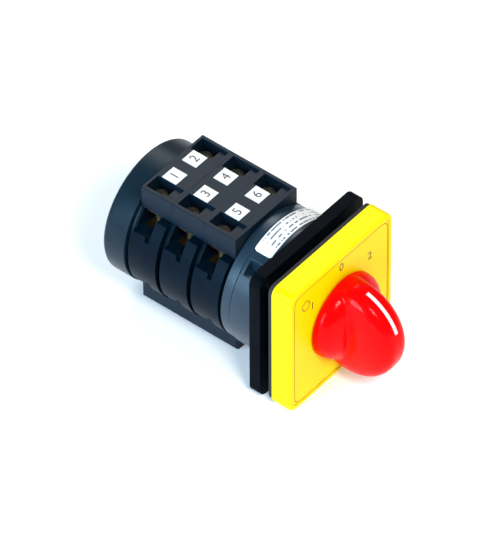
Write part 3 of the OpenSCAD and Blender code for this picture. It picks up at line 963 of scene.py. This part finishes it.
@dataclass
class ContactStack:
    """The three switching stages with their terminals and numbered labels."""

    names: tuple[str, ...] = ("front", "middle", "rear")
    edge: float = 0.22 * MM
    figure_size: float = 3.6 * MM
    figure_x: float = 5.2 * MM
    spring: CoilSpring = field(default_factory=CoilSpring)

    def build(self, shop: PaintShop) -> None:
        """Dresses the stages, makes their springs and numbers their labels.

        Args:
            shop: where the finishes come from.
        """
        press = Engraving()
        for i, name in enumerate(self.names):
            nodes = frame["nodes"]
            shop.dress(nodes[f"stage_housing_{name}"], STAGE_BLUE_SHEEN)
            shop.dress(nodes[f"terminal_covers_{name}"], HOUSING_BLUE_SHEEN)
            soften_cad_edges(f"stage_housing_{name}", self.edge)
            soften_cad_edges(f"terminal_covers_{name}", self.edge)
            for part, finish in (("cam", IVORY), ("plunger_top", IVORY),
                                 ("plunger_bottom", IVORY), ("bridge_top", COPPER),
                                 ("bridge_bottom", COPPER), ("fixed_contacts", BRASS_SHADED),
                                 ("terminal_screws", TERMINAL_STEEL_SHADED), ("wire_clamps", BRASS_SHADED),
                                 ("contact_labels", WHITE)):
                shop.dress(nodes[f"{part}_{name}"], finish)
            soften_cad_edges(f"terminal_screws_{name}", 0.12 * MM)
            for side in ("top", "bottom"):
                self.spring.build(f"contact_spring_{side}_{name}",
                                  f"bridge_carrier_{side}_{name}", shop)
            low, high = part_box(f"contact_labels_{name}")
            middle = (low + high) / 2
            for side in (-1, 1):
                spot = Vector((side * self.figure_x, middle.y, high.z + PRINT_GAP))
                number = 2 * (len(self.names) - 1 - i) + (1 if side < 0 else 2)
                obj = press.figure(f"contact_figure_{number}", str(number), self.figure_size,
                                   spot, Vector((1, 0, 0)), Vector((0, 1, 0)))
                shop.dress(obj, FIGURE)
                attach(obj, Body.CASING.value)
            log.info("stage %s dressed", name)


@dataclass
class Casing:
    """The escutcheon, the mounting plate, the detent housing, the rear cover and their steel."""

    def build(self, shop: PaintShop) -> None:
        """Dresses the fixed parts and the shaft's parts, and rounds their edges.

        Args:
            shop: where the finishes come from.
        """
        finishes = {
            "escutcheon_frame": (YELLOW, 0.45 * MM), "panel_gasket": (GASKET, 0.2 * MM),
            "mounting_plate": (PLATE, 0.6 * MM), "latch_housing": (LATCH_PAINTED_HIGHLIGHT, 0.25 * MM),
            "latch_ring": (LATCH_PAINTED_HIGHLIGHT, 0.15 * MM), "rear_cover": (COVER_BLUE_SHEEN, 0.25 * MM),
            "mounting_screws": (ZINC, 0.15 * MM), "plate_screws": (ZINC, 0.1 * MM),
            "tie_bolts": (ZINC, 0.1 * MM), "tie_nuts": (ZINC, 0.15 * MM),
            "detent_springs": (SPRING, 0.0), "star_wheel": (IVORY, 0.1 * MM),
            "drive_shaft": (ZINC, 0.15 * MM), "shaft_tail_bush": (IVORY, 0.1 * MM),
            "knob_clip": (SPRING, 0.1 * MM),
        }
        for node, (finish, width) in finishes.items():
            shop.dress(frame["nodes"][node], finish)
            if width > 0:
                soften_cad_edges(node, width)
        log.info("casing: %d parts dressed", len(finishes))


# ---- Studio ------------------------------------------------------------------------------------


@dataclass
class Studio:
    """Pale floor, soft lights and the camera."""

    azimuth: float = -50.57
    elevation: float = 45.04
    roll: float = -0.26
    distance: float = 2.699
    lens: float = 536.3
    aim: tuple[float, float, float] = (0.0, -0.0097, 0.0)
    shift: tuple[float, float] = (30.15 * MM, -12.58 * MM)
    lights_aim: tuple[float, float, float] = (0.0, 0.03, 0.0)
    sky: float = 0.35
    floor_side: float = 4.0
    floor_gap: float = 0.2 * MM

    def camera(self) -> None:
        """Sets the camera: it looks along its own axes, off the aim point by the shift."""
        a, e, r = (math.radians(v) for v in (self.azimuth, self.elevation, self.roll))
        back = Vector((math.sin(a) * math.cos(e), -math.cos(a) * math.cos(e), math.sin(e)))
        right = (-back).cross(Vector((0, 0, 1))).normalized()
        up = right.cross(-back)
        right, up = right * math.cos(r) + up * math.sin(r), up * math.cos(r) - right * math.sin(r)
        data = bpy.data.cameras.new("camera")
        data.lens = self.lens
        data.sensor_width = 36.0
        data.clip_start, data.clip_end = 0.05, 50.0
        cam = bpy.data.objects.new("camera", data)
        turn = Matrix((right, up, back)).transposed().to_4x4()
        spot = (Vector(self.aim) + back * self.distance - right * self.shift[0]
                - up * self.shift[1])
        cam.matrix_world = Matrix.Translation(spot) @ turn
        bpy.context.scene.collection.objects.link(cam)
        bpy.context.scene.camera = cam

    def light(self, name: str, spot: tuple[float, float, float], size: float, power: float,
              color: tuple[float, float, float]) -> None:
        """Adds a square soft light that faces the switch.

        Args:
            name: the light's name.
            spot: where it stands.
            size: its side, in metres.
            power: its power, in watts.
            color: its colour.
        """
        data = bpy.data.lights.new(name, "AREA")
        data.size, data.energy, data.color = size, power, color
        obj = bpy.data.objects.new(name, data)
        target = Vector(self.lights_aim)
        obj.rotation_euler = (target - Vector(spot)).to_track_quat("-Z", "Y").to_euler()
        obj.location = spot
        bpy.context.scene.collection.objects.link(obj)

    def floor(self, shop: PaintShop) -> None:
        """Adds the pale floor just under the switch.

        Args:
            shop: where the finishes come from.
        """
        z = CAD_LOW[2] - self.floor_gap
        side = self.floor_side
        points = np.array([[-side, -side, z], [side, -side, z], [side, side, z], [-side, side, z]])
        obj = mesh_object("floor", points, [[0, 1, 2, 3]])
        shop.dress(obj, FLOOR)
        obj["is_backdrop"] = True

    def build(self, shop: PaintShop) -> None:
        """Sets up the whole studio.

        Args:
            shop: where the finishes come from.
        """
        scene = bpy.context.scene
        scene.view_settings.view_transform = "Standard"
        world = bpy.data.worlds.new("studio")
        scene.world = world
        world.use_nodes = True
        world.node_tree.nodes["Background"].inputs[0].default_value = (1.0, 1.0, 1.0, 1.0)
        world.node_tree.nodes["Background"].inputs[1].default_value = self.sky
        self.floor(shop)
        self.camera()
        self.light("key", (-0.3, -0.55, 0.75), 0.24, 6.5, (1.0, 0.99, 0.97))
        self.light("left_window", (-0.7, 0.15, 0.25), 0.35, 7.0, (0.45, 0.75, 1.0))
        self.light("back_fill", (0.5, 0.6, 0.6), 0.4, 3.0, (1.0, 1.0, 1.0))
        log.info("studio set")


def main() -> None:
    """Builds every sub-assembly in order."""
    logging.basicConfig(level=logging.INFO, format="%(name)s: %(message)s")
    shop = PaintShop()
    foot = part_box("knob")[1].y
    for part in (Casing(), ContactStack(), PositionPlate(), RatingLabel(), Knob(foot_y=foot)):
        part.build(shop)
    Studio().build(shop)


if __name__ == "__main__":
    main()
